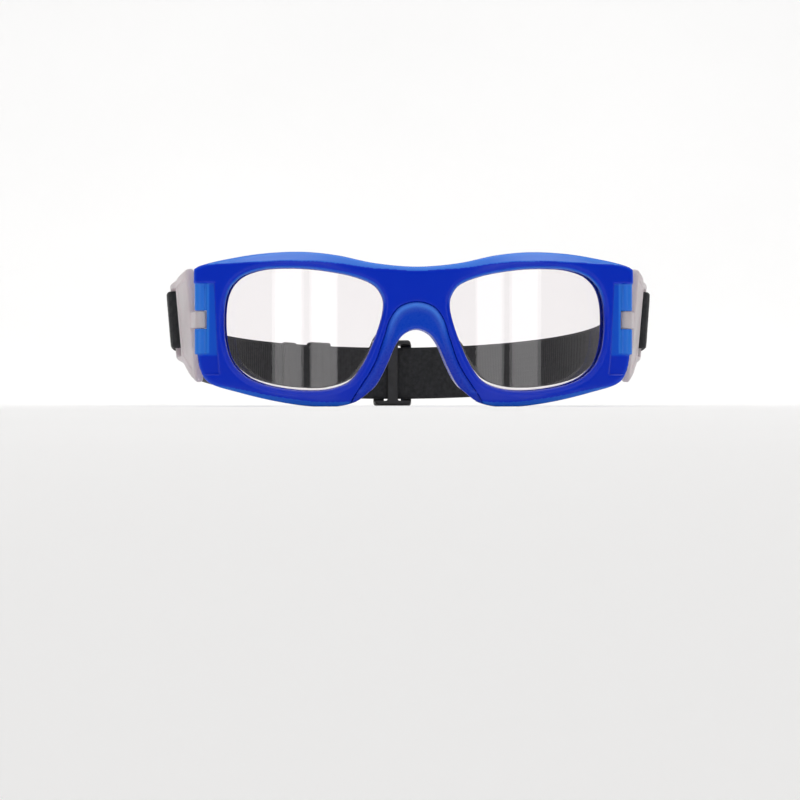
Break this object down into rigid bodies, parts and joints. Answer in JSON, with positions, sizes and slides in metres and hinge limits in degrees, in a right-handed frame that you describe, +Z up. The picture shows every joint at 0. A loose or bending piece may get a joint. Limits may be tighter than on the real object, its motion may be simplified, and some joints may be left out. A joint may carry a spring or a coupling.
{
  "type": "sports protective goggles",
  "caption": "Wrap-round sports goggles with clear lenses, silicone nose saddle, short folding arms and an elastic adjustable head strap.",
  "frame": {"origin": "front edge of the nose arch, at the arch's apex, where the goggles sit on the bridge of the nose", "axes": "+X to the right of someone facing the goggles, +Y back towards the wearer's head along the strap, +Z up"},
  "size_m": [0.1704, 0.2017, 0.0523],
  "materials": {
    "blue_shell": "polished translucent moulded plastic",
    "lens": "clear hard-coated polycarbonate",
    "blue_silicone": "satin silicone",
    "screw_steel": "turned",
    "insert_brass": "turned",
    "frosted_arm": "frosted translucent moulded plastic",
    "pad_silicone": "frosted silicone",
    "webbing": "woven elastic webbing",
    "thread": "polyester thread",
    "keeper_rubber": "moulded rubber",
    "black_plastic": "fine-textured moulded plastic"
  },
  "bodies": {
    "front": {"front_frame": "blue_shell", "lens_left": "lens", "lens_right": "lens", "nose_saddle_pad": "blue_silicone", "hinge_screw_left": "screw_steel", "hinge_screw_right": "screw_steel", "hinge_insert_left": "insert_brass", "hinge_insert_right": "insert_brass", "strap_band": "webbing", "strap_return_ply": "webbing", "strap_keeper": "keeper_rubber", "tail_end_clip": "black_plastic"},
    "left_arm": {"arm_left": "frosted_arm", "temple_pad_left": "pad_silicone", "strap_loop_left": "webbing", "loop_stitching_left": "thread"},
    "right_arm": {"arm_right": "frosted_arm", "temple_pad_right": "pad_silicone", "strap_loop_right": "webbing"},
    "adjuster": {"strap_adjuster": "black_plastic"}
  },
  "joints": [
    {"name": "left_arm_fold", "type": "hinge", "parent": "front", "child": "left_arm", "pos_m": [-0.0723, 0.0216, 0.0035], "axis": [0, 0, -1], "range_deg": [0, 80]},
    {"name": "right_arm_fold", "type": "hinge", "parent": "front", "child": "right_arm", "pos_m": [0.0723, 0.0216, 0.0035], "axis": [0, 0, 1], "range_deg": [0, 80]},
    {"name": "adjuster_travel", "type": "hinge", "parent": "front", "child": "adjuster", "pos_m": [0, 0.121, -0.0134], "axis": [0, 0, 1], "range_deg": [-12, 12]}
  ]
}
